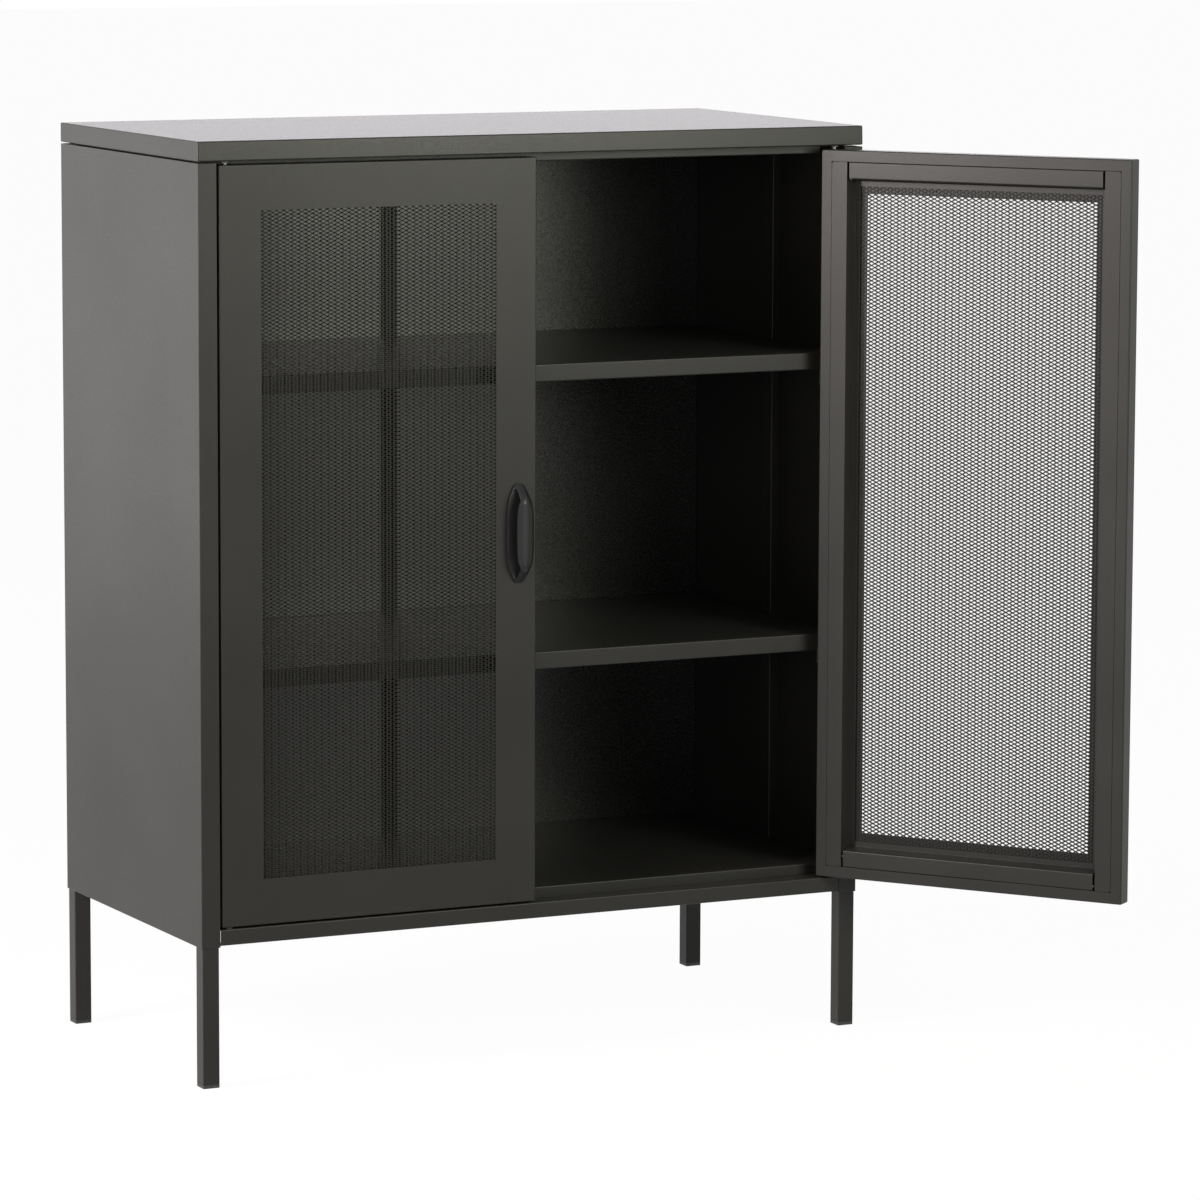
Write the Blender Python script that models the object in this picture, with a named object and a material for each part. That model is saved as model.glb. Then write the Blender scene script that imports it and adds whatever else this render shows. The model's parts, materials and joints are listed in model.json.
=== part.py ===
"""Steel sideboard buffet: a folded sheet-metal cabinet on four square legs.

Two pin-hinged doors with expanded-metal windows close in front of two shelves.
The left door is shut and the right door stands open.

Metres, +Z up.  The origin is on the floor, under the middle of the cabinet.
+X is to the right of someone facing the doors, and the doors are at -Y.
"""

import math

import bmesh
import bpy
from mathutils import Matrix, Vector

# ---------------------------------------------------------------- dimensions
# Overall size, taken over the top tray and down to the floor
WIDTH = 0.800
DEPTH = 0.400
HEIGHT = 1.020

# Fits
GAP = 0.0003              # between two pieces that touch
OVERHANG = 0.0003         # top tray past the carcass, all round
SHADOW_GAP = 0.0018       # dark line between the top tray and the carcass

# Sheet metal
SHEET = 0.0010
TOP_EDGE = 0.0215         # height of the folded edge of the top tray
TOP_LIP_FRONT = 0.040     # return under the tray, wide enough for the hinge pins
TOP_LIP_SIDE = 0.018
TOP_LIP_BACK = 0.030

# Carcass
LEG_CLEAR = 0.154         # floor to the underside of the carcass
POST_FACE = 0.0217        # face of the folded post at each front corner
POST_DEPTH = 0.020
REAR_FOLD = 0.021
HEM = 0.012               # folds along the top and bottom of a side panel
UPSTAND = 0.002           # thickness of the step on the top hem that carries the tray
RAIL_DROP = 0.0015        # bottom rails above the lower edge of the side panels
RAIL_FACE = 0.0175        # visible height of the bottom rails
RAIL_LEDGE = 0.048        # depth of the ledge on top of the front bottom rail
RAIL_RETURN = 0.014
STOP_SETBACK = 0.025      # front face to the faces that the doors close against
TOP_RAIL_FACE = 0.0097    # height of the front top rail
TOP_RAIL_FLANGE = 0.020
TOP_RAIL_SHORT = 0.0187   # end of the front top rail to the post
REAR_TOP_RAIL_FACE = 0.030
FLOOR_RISE = 0.0120       # floor of the cabinet above the ledge that carries it

# Legs and feet
LEG_WALL = 0.0015
LEG_INSERT = 0.050        # front leg inside its post
FOOT_HEIGHT = 0.004
FOOT_PLUG = 0.018

# Back
STRIP_WIDTH = 0.018
STRIP_DEPTH = 0.0035
STIFFENER_DEPTH = 0.010

# Shelves
SHELF_EDGE = 0.0193
SHELF_LIP = 0.010
SHELF_TOPS = {"shelf_lower": 0.448, "shelf_upper": 0.766}
SHELF_SIDE_CLEAR = 0.0015  # shelf to the side stiffeners
CLIP_WIDTH = 0.025
CLIP_ARM = 0.0437
CLIP_DROP = 0.025
CLIP_SHEET = 0.0020
CLIP_SPREAD = 0.130       # clips in front of and behind the middle of a shelf

# Doors
DOOR_THICK = 0.020
DOOR_SIDE_GAP = 0.0023    # door to post
DOOR_MIDDLE_GAP = 0.0058  # between the two shut doors
DOOR_FOOT_GAP = 0.0020    # ledge to door
DOOR_HEAD_GAP = 0.0041    # door to top tray
DOOR_FLANGE = 0.0128      # return round the inner side of a door
WINDOW_SIDE = 0.0484      # window margins
WINDOW_TOP = 0.0490
WINDOW_BOTTOM = 0.0500
HAT_FACE = 0.0200         # inner frame members
HAT_FOOT = 0.0075
FRAME_JOINT = 0.0012      # rails to stiles
MESH_THICK = 0.0010
MESH_TUCK = 0.0060        # mesh under the feet of the inner frame

# Hinges
HINGE_FROM_EDGE = 0.0089
HINGE_FROM_FRONT = 0.0052
PIN_RADIUS = 0.0020
PIN_COLLAR = 0.0035
PIN_REACH = 0.0085        # pin past the end of the door
BUSH_RADIUS = 0.0030
BUSH_FLANGE_RADIUS = 0.0044
BUSH_FLANGE = 0.0014
BUSH_TAIL = 0.0020        # bush past the sheet that holds it
RIGHT_DOOR_OPEN = math.radians(126.0)

# Handles
HANDLE_HEIGHT = 0.585     # floor to the middle of the handle
HANDLE_LENGTH = 0.109
HANDLE_WIDTH = 0.029
HANDLE_REACH = 0.020
HANDLE_FROM_EDGE = 0.0215
HANDLE_BASE = 0.0052      # floor of the finger hollow above the door
HANDLE_LIP = 0.0088       # lip of the hood, from the middle towards the window
HANDLE_WALL = 0.0025
HANDLE_GRIP = 0.076       # length of the finger hollow under the top of the hood
SCREW_RADIUS = 0.0018
SCREW_HEAD_RADIUS = 0.0036
SCREW_HEAD = 0.0020
SCREW_SPACING = 0.092
SCREW_BITE = 0.0044

ROUND_SIDES = 24

# ------------------------------------------------------------ derived places
HALF_W = WIDTH / 2 - OVERHANG
HALF_D = DEPTH / 2 - OVERHANG
INNER_W = HALF_W - SHEET
INNER_D = HALF_D - SHEET
TRAY_BASE = HEIGHT - TOP_EDGE
CARCASS_TOP = TRAY_BASE - SHADOW_GAP
POST_INNER = HALF_W - POST_FACE
RAIL_BASE = LEG_CLEAR + RAIL_DROP
LEDGE = RAIL_BASE + RAIL_FACE
FLOOR_TOP = LEDGE + GAP + FLOOR_RISE
STOP_Y = -HALF_D + STOP_SETBACK
BACK_FRONT_Y = INNER_D - GAP - SHEET      # front face of the back panels
STRIP_FRONT_Y = BACK_FRONT_Y - GAP - STRIP_DEPTH
LEG_SIZE = POST_FACE - 2 * SHEET - 2 * GAP
LEG_X = INNER_W - GAP - LEG_SIZE / 2
LEG_Y = INNER_D - GAP - LEG_SIZE / 2
SHELF_HALF_W = INNER_W - GAP - STIFFENER_DEPTH - SHELF_SIDE_CLEAR
SHELF_BACK_Y = STRIP_FRONT_Y - GAP
DOOR_OUTER = POST_INNER - DOOR_SIDE_GAP
DOOR_INNER = DOOR_MIDDLE_GAP / 2
DOOR_BASE = LEDGE + DOOR_FOOT_GAP
DOOR_TOP = TRAY_BASE - DOOR_HEAD_GAP
DOOR_FRONT = -HALF_D
HINGE_X = DOOR_OUTER - HINGE_FROM_EDGE
HINGE_Y = DOOR_FRONT + HINGE_FROM_FRONT
PIN_COLLAR_RADIUS = HINGE_FROM_FRONT - SHEET - GAP
MESH_FRONT = SHEET + GAP                  # depths behind the front face of a door
HAT_FOOT_FRONT = MESH_FRONT + MESH_THICK + GAP


# ------------------------------------------------------------------ helpers
def clear_scene():
    for obj in list(bpy.data.objects):
        bpy.data.objects.remove(obj, do_unlink=True)


def finish_material(name, colour, roughness, metallic):
    """One plain surface, used by one object."""
    mat = bpy.data.materials.new(name)
    mat.use_nodes = True
    shader = mat.node_tree.nodes["Principled BSDF"]
    shader.inputs["Base Color"].default_value = (*colour, 1.0)
    shader.inputs["Roughness"].default_value = roughness
    shader.inputs["Metallic"].default_value = metallic
    mat.diffuse_color = (*colour, 1.0)
    return mat


def powder_coat(name):
    return finish_material(name + "_powder_coat", (0.046, 0.046, 0.047), 0.45, 0.0)


def mesh_coat(name):
    return finish_material(name + "_mesh_coat", (0.030, 0.030, 0.031), 0.50, 0.0)


def black_plastic(name):
    return finish_material(name + "_black_plastic", (0.012, 0.012, 0.013), 0.38, 0.0)


def zinc(name):
    return finish_material(name + "_zinc", (0.56, 0.56, 0.57), 0.32, 1.0)


def make_object(name, bm, finish, parent=None, smooth=False):
    """Turn a bmesh into a named object with its own material."""
    bmesh.ops.recalc_face_normals(bm, faces=bm.faces)
    mesh = bpy.data.meshes.new(name)
    bm.to_mesh(mesh)
    bm.free()
    if smooth:
        mesh.shade_smooth()
        mesh.set_sharp_from_angle(angle=math.radians(35))
    obj = bpy.data.objects.new(name, mesh)
    obj.data.materials.append(finish(name))
    bpy.context.collection.objects.link(obj)
    obj.parent = parent
    return obj


def rectangle(bm, x0, y0, x1, y1, z):
    return [bm.verts.new(p) for p in ((x0, y0, z), (x1, y0, z), (x1, y1, z), (x0, y1, z))]


def rectangle_shell(rects, closed):
    """Walls between successive level rectangles (x0, y0, x1, y1, z).

    A closed shell joins the last to the first; an open one is capped at both ends.
    """
    bm = bmesh.new()
    loops = [rectangle(bm, *r) for r in rects]
    pairs = list(zip(loops, loops[1:]))
    if closed:
        pairs.append((loops[-1], loops[0]))
    else:
        bm.faces.new(loops[0])
        bm.faces.new(loops[-1])
    for a, b in pairs:
        for i in range(4):
            j = (i + 1) % 4
            bm.faces.new((a[i], a[j], b[j], b[i]))
    return bm


def section_bar(points, stations, axis):
    """A flat section extruded through the stations along one axis.

    Along X the section's points are (y, z), along Y (x, z) and along Z (x, y).
    """
    bm = bmesh.new()
    place = {
        "X": lambda u, v, s: (s, u, v),
        "Y": lambda u, v, s: (u, s, v),
        "Z": lambda u, v, s: (u, v, s),
    }[axis]
    ring = [bm.verts.new(place(u, v, stations[0])) for u, v in points]
    edges = [bm.edges.new(pair) for pair in zip(ring, ring[1:] + ring[:1])]
    bm.faces.new(ring)
    for here, there in zip(stations, stations[1:]):
        step = Vector(place(0, 0, there)) - Vector(place(0, 0, here))
        grown = bmesh.ops.extrude_edge_only(bm, edges=edges)["geom"]
        edges = [g for g in grown if isinstance(g, bmesh.types.BMEdge)]
        moved = [g for g in grown if isinstance(g, bmesh.types.BMVert)]
        edges = [e for e in edges if all(v in moved for v in e.verts)]
        bmesh.ops.translate(bm, verts=moved, vec=step)
    bmesh.ops.contextual_create(bm, geom=edges)
    return bm


def pull_face(bm, near, step):
    """Extrude the face whose middle is nearest to a point."""
    face = min(bm.faces, key=lambda f: (f.calc_center_median() - Vector(near)).length)
    grown = bmesh.ops.extrude_discrete_faces(bm, faces=[face])
    bmesh.ops.translate(bm, verts=grown["faces"][0].verts, vec=step)


def block(lo, hi):
    bm = bmesh.new()
    size = Vector(hi) - Vector(lo)
    centre = (Vector(hi) + Vector(lo)) / 2
    matrix = Matrix.Translation(centre) @ Matrix.Diagonal((*size, 1.0))
    bmesh.ops.create_cube(bm, size=1.0, matrix=matrix)
    return bm


def turned(profile, centre=(0, 0, 0), axis="Z"):
    """A solid of revolution from (radius, height) points that start and end on the axis."""
    bm = bmesh.new()
    verts = [bm.verts.new((r, 0, h)) for r, h in profile]
    edges = [bm.edges.new(pair) for pair in zip(verts, verts[1:])]
    bmesh.ops.spin(
        bm, geom=verts + edges, cent=(0, 0, 0), axis=(0, 0, 1),
        angle=math.tau, steps=ROUND_SIDES, use_merge=True,
    )
    bmesh.ops.remove_doubles(bm, verts=bm.verts, dist=1e-6)
    if axis == "Y":
        bmesh.ops.rotate(bm, verts=bm.verts, matrix=Matrix.Rotation(math.pi / 2, 3, "X"))
    bmesh.ops.translate(bm, verts=bm.verts, vec=centre)
    return bm


def tube_ring(profile, centre):
    """A ring of revolution from a closed loop of (radius, height) points."""
    bm = bmesh.new()
    verts = [bm.verts.new((r, 0, h)) for r, h in profile]
    edges = [bm.edges.new(pair) for pair in zip(verts, verts[1:] + verts[:1])]
    bmesh.ops.spin(
        bm, geom=verts + edges, cent=(0, 0, 0), axis=(0, 0, 1),
        angle=math.tau, steps=ROUND_SIDES, use_merge=True,
    )
    bmesh.ops.remove_doubles(bm, verts=bm.verts, dist=1e-6)
    bmesh.ops.translate(bm, verts=bm.verts, vec=centre)
    return bm


def cutter(name, bm, parent=None):
    bmesh.ops.recalc_face_normals(bm, faces=bm.faces)
    mesh = bpy.data.meshes.new(name)
    bm.to_mesh(mesh)
    bm.free()
    obj = bpy.data.objects.new(name, mesh)
    bpy.context.collection.objects.link(obj)
    obj.parent = parent
    obj.hide_render = True
    obj.display_type = "WIRE"
    return obj


def cut(obj, tool):
    mod = obj.modifiers.new("cut_" + tool.name, "BOOLEAN")
    mod.operation = "DIFFERENCE"
    mod.object = tool
    mod.solver = "EXACT"


def rod(radius, low, high, centre, axis="Z"):
    return turned([(0, low), (radius, low), (radius, high), (0, high)], centre, axis)


def together(solids):
    """One mesh that holds several separate solids."""
    whole = bmesh.new()
    for solid in solids:
        mesh = bpy.data.meshes.new("solid")
        solid.to_mesh(mesh)
        solid.free()
        whole.from_mesh(mesh)
        bpy.data.meshes.remove(mesh)
    return whole


# ------------------------------------------------------------- the top tray
def add_top_panel():
    """Folded tray: a flat top, a deep edge and a return all round underneath."""
    x, y = WIDTH / 2, DEPTH / 2
    lip = TRAY_BASE + SHEET
    under = HEIGHT - SHEET
    opening = (-x + TOP_LIP_SIDE, -y + TOP_LIP_FRONT, x - TOP_LIP_SIDE, y - TOP_LIP_BACK)
    cavity = (-x + SHEET, -y + SHEET, x - SHEET, y - SHEET)
    bm = rectangle_shell([
        (*cavity, under),
        (*cavity, lip),
        (*opening, lip),
        (*opening, TRAY_BASE),
        (-x, -y, x, y, TRAY_BASE),
        (-x, -y, x, y, HEIGHT),
    ], closed=False)
    top = make_object("top_panel", bm, powder_coat)
    for side, tag in ((-1, "left"), (1, "right")):
        centre = (side * HINGE_X, HINGE_Y, TRAY_BASE + SHEET / 2)
        hole = rod(BUSH_RADIUS + GAP, -SHEET * 2, SHEET * 2, centre)
        cut(top, cutter("bush_hole_top_" + tag, hole))


# --------------------------------------------------------- the side panels
def add_side_panel(side, tag):
    """One sheet: the flank, a square post folded at the front, a fold at the rear.

    Hems stiffen its top and bottom edges between the posts, and a step along the
    top hem carries the tray clear of the flank.
    """
    out, skin = side * HALF_W, side * INNER_W
    post, post_in = side * POST_INNER, side * (POST_INNER + SHEET)
    front, front_in, back, back_in = -HALF_D, -INNER_D, HALF_D, INNER_D
    post_end = front + POST_DEPTH
    rear_end = side * (HALF_W - REAR_FOLD)
    section = [
        (out, front), (post, front), (post, post_end), (post_in, post_end),
        (post_in, front_in), (skin, front_in),
        (skin, post_end + SHEET), (skin, back_in - POST_DEPTH),
        (skin, back_in), (rear_end, back_in), (rear_end, back), (out, back),
    ]
    stations = [LEG_CLEAR, LEG_CLEAR + SHEET, CARCASS_TOP - SHEET, CARCASS_TOP]
    bm = section_bar(section, stations, "Z")
    middle = (post_end + SHEET + back_in - POST_DEPTH) / 2
    pull_face(bm, (skin, middle, LEG_CLEAR + SHEET / 2), (-side * HEM, 0, 0))
    bend = skin - side * (HEM - UPSTAND)
    top_edge = CARCASS_TOP - SHEET / 2
    pull_face(bm, (skin, middle, top_edge), (bend - skin, 0, 0))
    pull_face(bm, (bend, middle, top_edge), (-side * UPSTAND, 0, 0))
    pull_face(bm, (bend - side * UPSTAND / 2, middle, CARCASS_TOP), (0, 0, SHADOW_GAP - GAP))
    make_object("side_panel_" + tag, bm, powder_coat)


# --------------------------------------------------------------- the rails
def add_rails():
    reach = POST_INNER - GAP
    front, front_in = -HALF_D, -INNER_D
    front_bottom = make_object("front_bottom_rail", section_bar([
        (front, RAIL_BASE), (front + RAIL_RETURN, RAIL_BASE),
        (front + RAIL_RETURN, RAIL_BASE + SHEET), (front_in, RAIL_BASE + SHEET),
        (front_in, LEDGE - SHEET), (front + RAIL_LEDGE, LEDGE - SHEET),
        (front + RAIL_LEDGE, LEDGE), (front, LEDGE),
    ], (-reach, reach), "X"), powder_coat)
    for side, tag in ((-1, "left"), (1, "right")):
        hole = rod(BUSH_RADIUS + GAP, -SHEET * 2, SHEET * 2,
                   (side * HINGE_X, HINGE_Y, LEDGE - SHEET / 2))
        cut(front_bottom, cutter("bush_hole_bottom_" + tag, hole))

    rear_reach = HALF_W - REAR_FOLD - GAP
    make_object("rear_bottom_rail", section_bar([
        (HALF_D, RAIL_BASE), (HALF_D, LEDGE),
        (HALF_D - RAIL_LEDGE, LEDGE), (HALF_D - RAIL_LEDGE, LEDGE - SHEET),
        (INNER_D, LEDGE - SHEET), (INNER_D, RAIL_BASE + SHEET),
        (HALF_D - RAIL_RETURN, RAIL_BASE + SHEET), (HALF_D - RAIL_RETURN, RAIL_BASE),
    ], (-rear_reach, rear_reach), "X"), powder_coat)

    top = TRAY_BASE - GAP
    stop_reach = POST_INNER - TOP_RAIL_SHORT
    stop_in = STOP_Y + SHEET
    face_base = top - TOP_RAIL_FACE
    make_object("front_top_rail", section_bar([
        (STOP_Y, face_base), (STOP_Y + TOP_RAIL_FLANGE, face_base),
        (STOP_Y + TOP_RAIL_FLANGE, face_base + SHEET), (stop_in, face_base + SHEET),
        (stop_in, top - SHEET), (STOP_Y + TOP_RAIL_FLANGE, top - SHEET),
        (STOP_Y + TOP_RAIL_FLANGE, top), (STOP_Y, top),
    ], (-stop_reach, stop_reach), "X"), powder_coat)

    make_object("rear_top_rail", section_bar([
        (HALF_D, top - REAR_TOP_RAIL_FACE), (HALF_D, top),
        (HALF_D - RAIL_LEDGE, top), (HALF_D - RAIL_LEDGE, top - SHEET),
        (INNER_D, top - SHEET), (INNER_D, top - REAR_TOP_RAIL_FACE),
    ], (-rear_reach, rear_reach), "X"), powder_coat)


# ------------------------------------------------------ floor and the back
def add_bottom_panel():
    """Floor tray, folded down on all four edges and standing on the two rails."""
    x = INNER_W - GAP
    y0, y1 = STOP_Y, BACK_FRONT_Y - GAP
    base = LEDGE + GAP
    cavity = (-x + SHEET, y0 + SHEET, x - SHEET, y1 - SHEET)
    make_object("bottom_panel", rectangle_shell([
        (*cavity, FLOOR_TOP - SHEET),
        (*cavity, base),
        (-x, y0, x, y1, base),
        (-x, y0, x, y1, FLOOR_TOP),
    ], closed=False), powder_coat)


def add_back():
    """Two back panels with a hat strip over the joint, and a stiffener on each flank."""
    base = LEDGE + GAP
    top = TRAY_BASE - SHEET - 2 * GAP
    edge = INNER_W - GAP
    for side, tag in ((-1, "left"), (1, "right")):
        xs = sorted((side * GAP, side * edge))
        make_object("back_panel_" + tag, block(
            (xs[0], BACK_FRONT_Y, base), (xs[1], BACK_FRONT_Y + SHEET, top)), powder_coat)

    stand = FLOOR_TOP + GAP
    head = TRAY_BASE - TOP_RAIL_FACE - 2 * GAP
    half = STRIP_WIDTH / 2
    front, rear = STRIP_FRONT_Y, STRIP_FRONT_Y + STRIP_DEPTH
    make_object("back_joint_strip", section_bar([
        (-half, rear), (-half, front), (half, front), (half, rear),
        (half - SHEET, rear), (half - SHEET, front + SHEET),
        (-half + SHEET, front + SHEET), (-half + SHEET, rear),
    ], (stand, head), "Z"), powder_coat)

    for side, tag in ((-1, "left"), (1, "right")):
        wall = side * (INNER_W - GAP)
        face = side * (INNER_W - GAP - STIFFENER_DEPTH)
        face_in = face + side * SHEET
        make_object("side_stiffener_" + tag, section_bar([
            (wall, -half), (face, -half), (face, half), (wall, half),
            (wall, half - SHEET), (face_in, half - SHEET),
            (face_in, -half + SHEET), (wall, -half + SHEET),
        ], (stand, head), "Z"), powder_coat)


# ----------------------------------------------------------------- shelves
def add_shelf(name, top):
    """Loose shelf: a tray folded down on all sides, resting on four clips."""
    x, y0, y1 = SHELF_HALF_W, STOP_Y, SHELF_BACK_Y
    base = top - SHELF_EDGE
    opening = (-x + SHELF_LIP, y0 + SHELF_LIP, x - SHELF_LIP, y1 - SHELF_LIP)
    cavity = (-x + SHEET, y0 + SHEET, x - SHEET, y1 - SHEET)
    make_object(name, rectangle_shell([
        (*cavity, top - SHEET),
        (*cavity, base + SHEET),
        (*opening, base + SHEET),
        (*opening, base),
        (-x, y0, x, y1, base),
        (-x, y0, x, y1, top),
    ], closed=False), powder_coat)

    arm_top = base - GAP
    for side, tag in ((-1, "left"), (1, "right")):
        wall = side * (INNER_W - GAP)
        plate = wall - side * CLIP_SHEET
        tip = wall - side * (CLIP_ARM + CLIP_SHEET)
        for end, y_tag in ((-1, "front"), (1, "rear")):
            y = (y0 + y1) / 2 + end * CLIP_SPREAD
            bm = section_bar([
                (wall, arm_top - CLIP_DROP), (wall, arm_top), (tip, arm_top),
                (tip, arm_top - CLIP_SHEET), (plate, arm_top - CLIP_SHEET),
                (plate, arm_top - CLIP_DROP),
            ], (y - CLIP_WIDTH / 2, y + CLIP_WIDTH / 2), "Y")
            level = name.replace("shelf_", "")
            make_object(f"shelf_clip_{level}_{y_tag}_{tag}", bm, zinc)


# ---------------------------------------------------------- legs and feet
def add_legs():
    half = LEG_SIZE / 2
    bore = half - LEG_WALL
    for side, tag in ((-1, "left"), (1, "right")):
        for end, y_tag in ((-1, "front"), (1, "rear")):
            head = LEG_CLEAR + LEG_INSERT if end < 0 else LEDGE
            x, y = side * LEG_X, end * LEG_Y
            outer = (x - half, y - half, x + half, y + half)
            inner = (x - bore, y - bore, x + bore, y + bore)
            foot_top = FOOT_HEIGHT + GAP
            make_object(f"leg_{y_tag}_{tag}", rectangle_shell([
                (*outer, foot_top), (*outer, head), (*inner, head), (*inner, foot_top),
            ], closed=True), powder_coat)

            plug = bore - GAP
            stem = (x - plug, y - plug, x + plug, y + plug)
            make_object(f"foot_cap_{y_tag}_{tag}", rectangle_shell([
                (*outer, 0.0), (*outer, FOOT_HEIGHT), (*stem, FOOT_HEIGHT),
                (*stem, FOOT_PLUG),
            ], closed=False), black_plastic)


# ------------------------------------------------------------------- doors
# A door is drawn shut.  Across is measured from the outer (hinge) edge, depth
# from the front face, and both are turned into places about the hinge axis.
def door_point(side, across, depth, z):
    x = side * (DOOR_OUTER - across - HINGE_X)
    return Vector((x, DOOR_FRONT + depth - HINGE_Y, z))


def door_rects(side, stack):
    """Rectangles (across0, across1, z0, z1, depth) that face the front of a door."""
    return [[door_point(side, a, d, z) for a, z in ((a0, z0), (a1, z0), (a1, z1), (a0, z1))]
            for a0, a1, z0, z1, d in stack]


def door_shell(side, stack, closed):
    bm = bmesh.new()
    loops = [[bm.verts.new(p) for p in ring] for ring in door_rects(side, stack)]
    pairs = list(zip(loops, loops[1:]))
    if closed:
        pairs.append((loops[-1], loops[0]))
    else:
        bm.faces.new(loops[0])
        bm.faces.new(loops[-1])
    for a, b in pairs:
        for i in range(4):
            j = (i + 1) % 4
            bm.faces.new((a[i], a[j], b[j], b[i]))
    return bm


def door_bar(side, section, start, stop, upright):
    """A section of (offset, depth) points run along a door: up it, or across it."""
    bm = bmesh.new()
    rings = []
    for station in (start, stop):
        if upright:
            rings.append([bm.verts.new(door_point(side, o, d, station)) for o, d in section])
        else:
            rings.append([bm.verts.new(door_point(side, station, d, o)) for o, d in section])
    bm.faces.new(rings[0])
    bm.faces.new(rings[1])
    count = len(section)
    for i in range(count):
        j = (i + 1) % count
        bm.faces.new((rings[0][i], rings[0][j], rings[1][j], rings[1][i]))
    return bm


def hat_section(outer, inner, foot):
    """Outer web, face, inner web and foot of an inner frame member."""
    step = math.copysign(SHEET, inner - outer)
    back, back_in = DOOR_THICK, DOOR_THICK - SHEET
    foot_back = HAT_FOOT_FRONT + SHEET
    return [
        (outer, MESH_FRONT), (outer, back), (inner, back), (inner, foot_back),
        (foot, foot_back), (foot, HAT_FOOT_FRONT), (inner - step, HAT_FOOT_FRONT),
        (inner - step, back_in), (outer + step, back_in), (outer + step, MESH_FRONT),
    ]


def add_door(side, tag, opening):
    """A folded pan with a window, an inner frame that clamps the mesh, pins and a handle."""
    hinge = bpy.data.objects.new(tag + "_door_hinge", None)
    bpy.context.collection.objects.link(hinge)
    hinge.location = (side * HINGE_X, HINGE_Y, 0)
    hinge.rotation_euler = (0, 0, side * opening)

    wide = DOOR_OUTER - DOOR_INNER
    base, top = DOOR_BASE, DOOR_TOP
    f = DOOR_FLANGE
    window = (WINDOW_SIDE, wide - WINDOW_SIDE, base + WINDOW_BOTTOM, top - WINDOW_TOP)
    cavity = (SHEET, wide - SHEET, base + SHEET, top - SHEET)
    outside = (0, wide, base, top)
    mouth = (f, wide - f, base + f, top - f)
    pan = make_object(tag + "_door_pan", door_shell(side, [
        (*window, 0), (*outside, 0), (*outside, DOOR_THICK), (*mouth, DOOR_THICK),
        (*mouth, DOOR_THICK - SHEET), (*cavity, DOOR_THICK - SHEET),
        (*cavity, SHEET), (*window, SHEET),
    ], closed=True), powder_coat, hinge)

    # inner frame: two full-height stiles with two rails between them
    a0 = f + GAP
    a1 = a0 + HAT_FACE
    foot = a1 + HAT_FOOT
    low, high = base + a0, top - a0
    frame_low, frame_high = base + a0 + HAT_FACE, top - a0 - HAT_FACE
    make_object(tag + "_door_stile_hinge", door_bar(
        side, hat_section(a0, a1, foot), low, high, True), powder_coat, hinge)
    make_object(tag + "_door_stile_free", door_bar(
        side, hat_section(wide - a0, wide - a1, wide - foot), low, high, True),
        powder_coat, hinge)
    rail_start, rail_stop = a1 + FRAME_JOINT, wide - a1 - FRAME_JOINT
    rail_top = make_object(tag + "_door_rail_top", door_bar(
        side, hat_section(high, frame_high, frame_high - HAT_FOOT),
        rail_start, rail_stop, False), powder_coat, hinge)
    rail_bottom = make_object(tag + "_door_rail_bottom", door_bar(
        side, hat_section(low, frame_low, frame_low + HAT_FOOT),
        rail_start, rail_stop, False), powder_coat, hinge)

    # the ends of the rails are notched where they pass over the feet of the stiles
    over_foot = HAT_FOOT_FRONT + SHEET + GAP
    for end_tag, start, stop in (("hinge", a1, foot + GAP),
                                 ("free", wide - foot - GAP, wide - a1)):
        notch = cutter(f"rail_notch_{end_tag}_{tag}", door_shell(side, [
            (start, stop, base, top, 0), (start, stop, base, top, over_foot),
        ], closed=False), hinge)
        cut(rail_top, notch)
        cut(rail_bottom, notch)

    # expanded-metal panel, as a flat sheet, under the feet of the inner frame
    tuck = foot - MESH_TUCK
    make_object(tag + "_door_mesh", door_shell(side, [
        (tuck, wide - tuck, frame_low + HAT_FOOT - MESH_TUCK,
         frame_high - HAT_FOOT + MESH_TUCK, MESH_FRONT),
        (tuck, wide - tuck, frame_low + HAT_FOOT - MESH_TUCK,
         frame_high - HAT_FOOT + MESH_TUCK, MESH_FRONT + MESH_THICK),
    ], closed=False), mesh_coat, hinge)

    holes = add_pins(side, tag, hinge)
    handle, bores = add_handle(side, tag, hinge)
    drill = cutter("door_bores_" + tag, together(holes + bores), hinge)
    cut(pan, drill)
    cut(handle, drill)


def add_pins(side, tag, hinge):
    """Hinge pins: each has a collar inside the door and a tail in a flanged bush.

    Returns the holes for them in the door.
    """
    holes = []
    for end, end_tag, face, sheet in (
            (-1, "bottom", DOOR_BASE, LEDGE), (1, "top", DOOR_TOP, TRAY_BASE)):
        seat = face - end * (SHEET + GAP)
        profile = [
            (0, face + end * PIN_REACH), (PIN_RADIUS, face + end * PIN_REACH),
            (PIN_RADIUS, seat), (PIN_COLLAR_RADIUS, seat),
            (PIN_COLLAR_RADIUS, seat - end * PIN_COLLAR), (0, seat - end * PIN_COLLAR),
        ]
        make_object(f"{tag}_door_pin_{end_tag}", turned(profile), zinc, hinge, smooth=True)
        holes.append(rod(PIN_RADIUS + GAP, -3 * SHEET, 3 * SHEET, (0, 0, face - end * SHEET / 2)))
        bore = PIN_RADIUS + GAP
        flange_far = sheet - end * (GAP + BUSH_FLANGE)
        flange_near = sheet - end * GAP
        tail = sheet + end * (SHEET + BUSH_TAIL)
        bush = tube_ring([
            (bore, flange_far), (BUSH_FLANGE_RADIUS, flange_far),
            (BUSH_FLANGE_RADIUS, flange_near), (BUSH_RADIUS, flange_near),
            (BUSH_RADIUS, tail), (bore, tail),
        ], (side * HINGE_X, HINGE_Y, 0))
        make_object(f"hinge_bush_{end_tag}_{tag}", bush, black_plastic, smooth=True)
    return holes


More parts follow.
